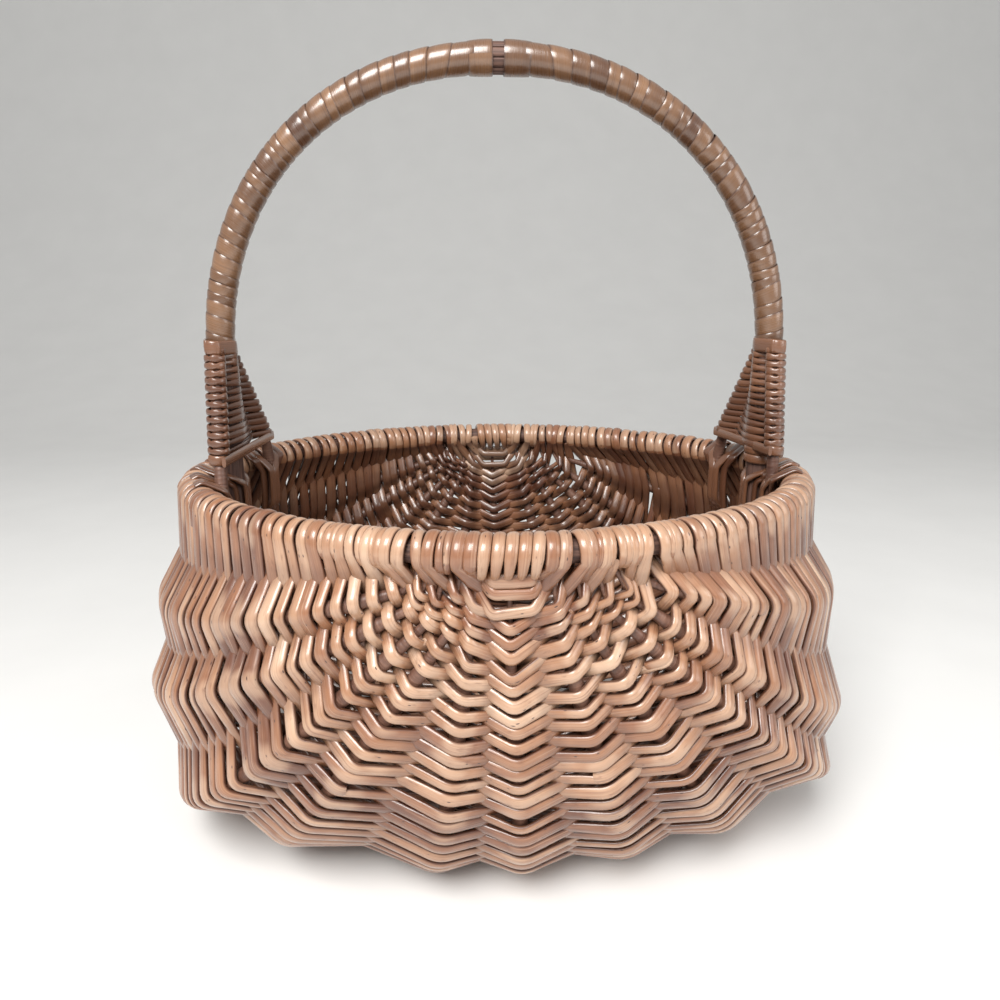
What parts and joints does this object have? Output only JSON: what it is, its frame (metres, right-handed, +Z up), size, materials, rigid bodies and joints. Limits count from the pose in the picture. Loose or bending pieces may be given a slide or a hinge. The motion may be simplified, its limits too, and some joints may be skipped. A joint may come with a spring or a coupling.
{
  "type": "buttocks basket",
  "caption": "Woven willow basket on curved ribs, with swelling sides, a bound oval rim, woven end fans and a tall arched handle wrapped in flat skein.",
  "frame": {"origin": "on the ground under the middle of the basket's box, where its belly rests", "axes": "+Z up through the handle's arch, +X along the width from one foot of the handle to the other, +Y from the pictured front to the back"},
  "size_m": [0.4328, 0.3158, 0.4511],
  "materials": {
    "willow": "varnished peeled willow, satin to gloss",
    "rib": "brown bark, wrinkled, thinly varnished",
    "handle": "varnished split willow skein, glossy",
    "core": "bare rod under the wrapping, dull"
  },
  "bodies": {
    "root": {"ear_front": "willow", "ear_back": "willow", "rim_hoop": "core", "rib_centre": "rib", "rib_left_1": "rib", "rib_left_2": "rib", "rib_left_3": "rib", "rib_left_4": "rib", "rib_left_5": "rib", "rib_right_1": "rib", "rib_right_2": "rib", "rib_right_3": "rib", "rib_right_4": "rib", "rib_right_5": "rib", "woven_band_01": "willow", "woven_band_02": "willow", "woven_band_03": "willow", "woven_band_04": "willow", "woven_band_05": "willow", "woven_band_06": "willow", "woven_band_07": "willow", "woven_band_08": "willow", "woven_band_09": "willow", "woven_band_10": "willow", "woven_band_11": "willow", "woven_band_12": "willow", "woven_band_13": "willow", "woven_band_14": "willow", "woven_band_15": "willow", "woven_band_16": "willow", "woven_band_17": "willow", "woven_band_18": "willow", "woven_band_19": "willow", "woven_band_20": "willow", "woven_band_21": "willow", "woven_band_22": "willow", "handle_bow": "core", "handle_skein_left": "handle", "handle_skein_right": "handle", "near_stake_left": "rib", "near_stake_right": "rib", "far_stake_left": "rib", "far_stake_right": "rib", "foot_binding_left": "handle", "foot_binding_right": "handle"}
  },
  "joints": []
}
